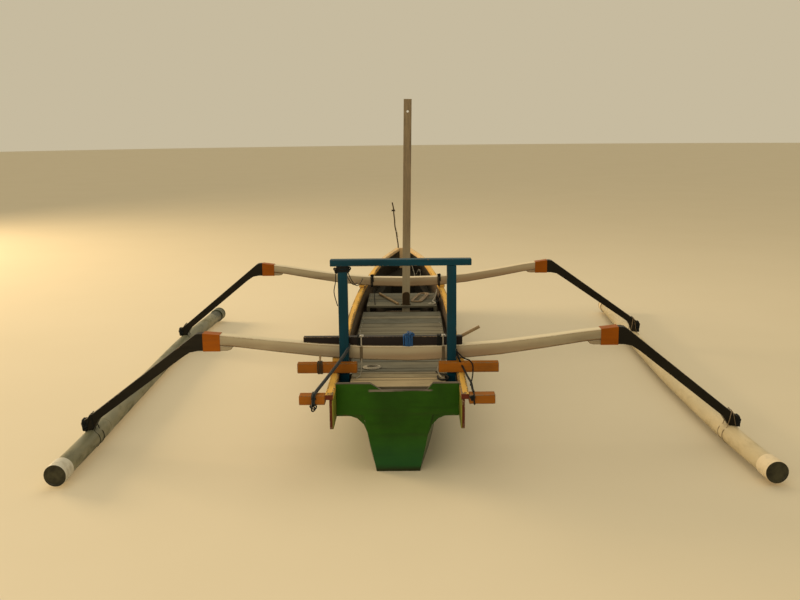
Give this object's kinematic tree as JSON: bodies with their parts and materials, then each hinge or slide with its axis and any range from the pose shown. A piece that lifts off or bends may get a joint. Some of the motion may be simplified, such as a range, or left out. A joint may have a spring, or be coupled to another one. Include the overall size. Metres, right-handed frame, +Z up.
{
  "type": "outrigger canoe",
  "caption": "Narrow open fishing canoe with two lashed cross beams, bent arms and pipe floats on both sides, a lift-out mast and a gallows over the stern.",
  "frame": {"origin": "on the hull's centreline at the water's surface, midway between the two outrigger beams", "axes": "+Y towards the bow, +X to starboard, +Z up"},
  "size_m": [4.6159, 5.7483, 2.6242],
  "materials": {
    "hull_paint": "worn satin green paint on wood",
    "side_paint": "worn red-brown paint on planks",
    "tan_paint": "worn orange-tan paint on wood",
    "inner_wood": "dark damp bare wood",
    "deck_wood": "sun-bleached bare planks",
    "mast_wood": "weathered bare spar",
    "beam_paint": "aged off-white paint on wood",
    "arm_paint": "black satin paint on wood",
    "orange_paint": "orange painted fibreglass band",
    "pipe_plastic": "weathered off-white plastic pipe",
    "cap_plastic": "off-white plastic cap with a dark olive end",
    "blue_paint": "petrol-blue satin paint on wood",
    "bracket_paint": "orange-brown paint on wood",
    "dark_wood": "nearly black stained wood",
    "stay_cord": "thin dark twisted cord"
  },
  "bodies": {
    "hull": {"hull_lower": "hull_paint", "stem_block": "hull_paint", "transom": "hull_paint", "bow_board": "tan_paint", "side_plank_port": "side_paint", "side_plank_starboard": "side_paint", "gunwale_cap_port": "tan_paint", "gunwale_cap_starboard": "tan_paint", "floor_timber_aft": "inner_wood", "floor_timber_mid": "inner_wood", "floor_timber_bow": "inner_wood", "deck_aft": "deck_wood", "deck_mid": "deck_wood", "deck_forward": "deck_wood", "mast_step": "inner_wood", "beam_aft": "beam_paint", "beam_forward": "beam_paint", "chock_aft_port": "inner_wood", "chock_aft_starboard": "inner_wood", "chock_forward_port": "inner_wood", "chock_forward_starboard": "inner_wood", "arm_aft_port": "arm_paint", "arm_aft_starboard": "arm_paint", "arm_forward_port": "arm_paint", "arm_forward_starboard": "arm_paint", "sleeve_aft_port": "orange_paint", "sleeve_aft_starboard": "orange_paint", "sleeve_forward_port": "orange_paint", "sleeve_forward_starboard": "orange_paint", "float_port": "pipe_plastic", "float_starboard": "pipe_plastic", "float_cap_aft_port": "cap_plastic", "float_cap_aft_starboard": "cap_plastic", "float_cap_forward_port": "cap_plastic", "float_cap_forward_starboard": "cap_plastic", "gallows_post_port": "blue_paint", "gallows_post_starboard": "blue_paint", "gallows_crossbar": "blue_paint", "bracket_bar_forward_port": "bracket_paint", "bracket_bar_forward_starboard": "bracket_paint", "bracket_bar_aft_port": "bracket_paint", "bracket_bar_aft_starboard": "bracket_paint", "clamp_bar": "dark_wood", "clamp_handle": "deck_wood", "stay_inboard": "stay_cord", "stay_outboard": "stay_cord", "bow_staff": "dark_wood"},
    "mast": {"mast": "mast_wood"}
  },
  "joints": [
    {"name": "mast_lift", "type": "slide", "parent": "hull", "child": "mast", "axis": [0.0181, 0, 0.9998], "range_m": [0, 0.7]}
  ]
}
